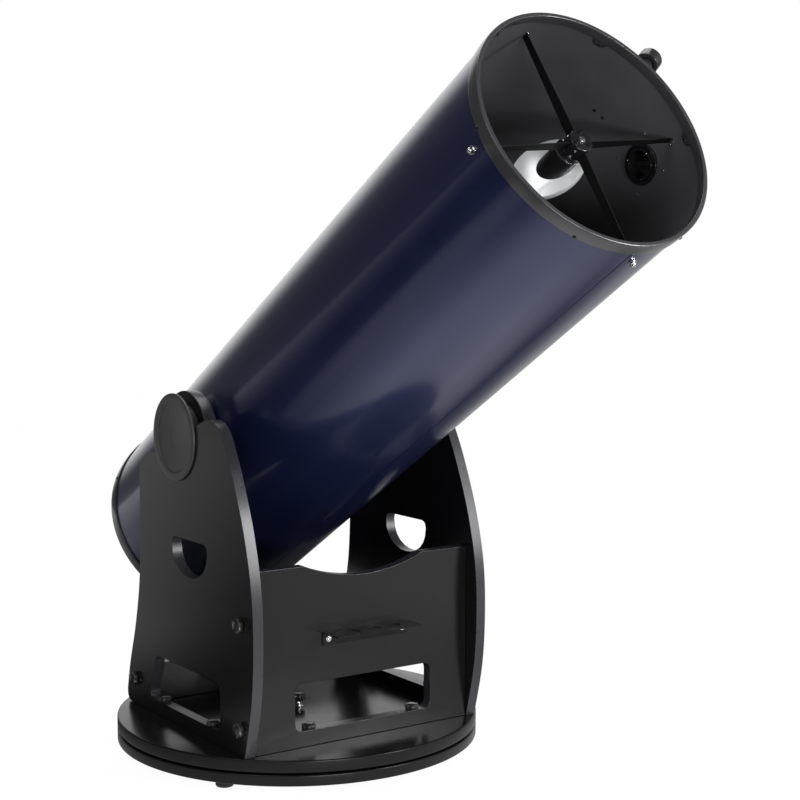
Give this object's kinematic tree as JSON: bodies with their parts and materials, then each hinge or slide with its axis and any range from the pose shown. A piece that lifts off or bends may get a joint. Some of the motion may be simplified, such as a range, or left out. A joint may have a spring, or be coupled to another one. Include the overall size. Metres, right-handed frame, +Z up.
{
  "type": "dobsonian telescope",
  "caption": "Solid-tube Newtonian telescope on a black rocker box that turns on a round base, with a flanged altitude bearing on each side and a spider across the open mouth.",
  "frame": {"origin": "where the azimuth axis meets the underside of the ground board, on the flush head of the pivot bolt", "axes": "+Z up, -Y to the front where the tube points, +X to the right as seen from the front; the altitude axis is parallel to X"},
  "size_m": [0.797, 1.6668, 1.4921],
  "materials": {
    "laminate": "black melamine over particle board, fine leather-like emboss, satin, grey edge banding",
    "foot_rubber": "matt black rubber",
    "steel": "bright zinc and chrome plate, light turning marks",
    "bearing_plastic": "white low-friction plastic, matt",
    "knob_plastic": "moulded black plastic, fine spark texture, satin",
    "black_metal": "black powder coat on steel and cast aluminium, slight orange peel",
    "tube_paint": "deep blue-grey metallic enamel, glossy, fine flake; flat black inside",
    "mirror_glass": "aluminised front face, ground grey-white edge and back"
  },
  "bodies": {
    "ground": {"ground_board": "laminate", "foot_1": "foot_rubber", "foot_2": "foot_rubber", "foot_3": "foot_rubber", "azimuth_lower_race": "steel", "pivot_bolt": "steel"},
    "roller_cage": {"azimuth_roller_cage": "bearing_plastic"},
    "clamp_knob": {"pivot_knob": "knob_plastic"},
    "rocker": {"azimuth_upper_race": "steel", "base_board": "laminate", "side_board_left": "laminate", "side_board_right": "laminate", "front_board": "laminate", "rear_cross_board": "laminate", "eyepiece_rack": "black_metal", "side_knob_left_1": "knob_plastic", "side_knob_left_2": "knob_plastic", "side_knob_left_3": "knob_plastic", "side_knob_right_1": "knob_plastic", "side_knob_right_2": "knob_plastic", "side_knob_right_3": "knob_plastic", "base_knob_1": "knob_plastic", "base_knob_2": "knob_plastic", "base_knob_3": "knob_plastic", "base_knob_4": "knob_plastic", "base_knob_5": "knob_plastic", "base_knob_6": "knob_plastic", "cradle_pad_left_1": "bearing_plastic", "cradle_pad_left_2": "bearing_plastic", "cradle_pad_right_1": "bearing_plastic", "cradle_pad_right_2": "bearing_plastic"},
    "tube": {"optical_tube": "tube_paint", "front_ring": "black_metal", "rear_ring": "black_metal", "mirror_cell": "black_metal", "primary_mirror": "mirror_glass", "spider_vane_1": "black_metal", "spider_vane_2": "black_metal", "spider_vane_3": "black_metal", "spider_vane_4": "black_metal", "spider_hub": "black_metal", "secondary_holder": "black_metal", "secondary_mirror": "mirror_glass", "trunnion_left": "knob_plastic", "trunnion_right": "knob_plastic", "trunnion_plate_left": "laminate", "trunnion_plate_right": "laminate", "trunnion_saddle_left": "black_metal", "trunnion_saddle_right": "black_metal", "focuser_body": "black_metal", "finder_shoe": "black_metal", "guide_knob": "knob_plastic"},
    "drawtube": {"focuser_drawtube": "black_metal"},
    "focus_shaft": {"focus_knobs": "knob_plastic"},
    "eyepiece_clamp": {"eyepiece_screw": "steel"},
    "finder_clamp": {"finder_screw": "steel"},
    "collimator_1": {"collimation_knob_1": "knob_plastic"},
    "collimator_2": {"collimation_knob_2": "knob_plastic"},
    "collimator_3": {"collimation_knob_3": "knob_plastic"}
  },
  "joints": [
    {"name": "azimuth", "type": "hinge", "parent": "ground", "child": "rocker", "pos_m": [0, 0, 0.05], "axis": [0, 0, 1], "continuous": true},
    {"name": "cage_roll", "type": "hinge", "parent": "ground", "child": "roller_cage", "pos_m": [0, 0, 0.025], "axis": [0, 0, 1], "continuous": true},
    {"name": "clamp_knob_turn", "type": "hinge", "parent": "ground", "child": "clamp_knob", "pos_m": [0, 0, 0.075], "axis": [0, 0, 1], "continuous": true},
    {"name": "altitude", "type": "hinge", "parent": "rocker", "child": "tube", "pos_m": [0, 0.0172, 0.6766], "axis": [1, 0, 0], "range_deg": [-58.9, 31.1]},
    {"name": "focus_travel", "type": "slide", "parent": "tube", "child": "drawtube", "axis": [0.9945, 0.054, 0.0895], "range_m": [-0.006, 0.034]},
    {"name": "focus_knob_turn", "type": "hinge", "parent": "tube", "child": "focus_shaft", "pos_m": [0.27013, -0.86367, 1.20074], "axis": [0, -0.8563, 0.5165], "range_deg": [-500, 90]},
    {"name": "eyepiece_clamp_turn", "type": "hinge", "parent": "drawtube", "child": "eyepiece_clamp", "pos_m": [0.31705, -0.82249, 1.26902], "axis": [-0.1045, 0.5137, 0.8516], "continuous": true},
    {"name": "finder_clamp_turn", "type": "hinge", "parent": "tube", "child": "finder_clamp", "pos_m": [0.21371, -0.78644, 1.30747], "axis": [0.606, -0.4109, -0.6811], "continuous": true},
    {"name": "collimator_1_turn", "type": "hinge", "parent": "tube", "child": "collimator_1", "pos_m": [0, 0.51731, 0.57579], "axis": [0, -0.8563, 0.5165], "continuous": true},
    {"name": "collimator_2_turn", "type": "hinge", "parent": "tube", "child": "collimator_2", "pos_m": [-0.14896, 0.38404, 0.35487], "axis": [0, -0.8563, 0.5165], "continuous": true},
    {"name": "collimator_3_turn", "type": "hinge", "parent": "tube", "child": "collimator_3", "pos_m": [0.14896, 0.38404, 0.35487], "axis": [0, -0.8563, 0.5165], "continuous": true}
  ],
  "couplings": [
    {"joint": "cage_roll", "follows": "azimuth", "ratio": 0.5},
    {"joint": "focus_knob_turn", "follows": "focus_travel", "rad_per_m": -250}
  ]
}
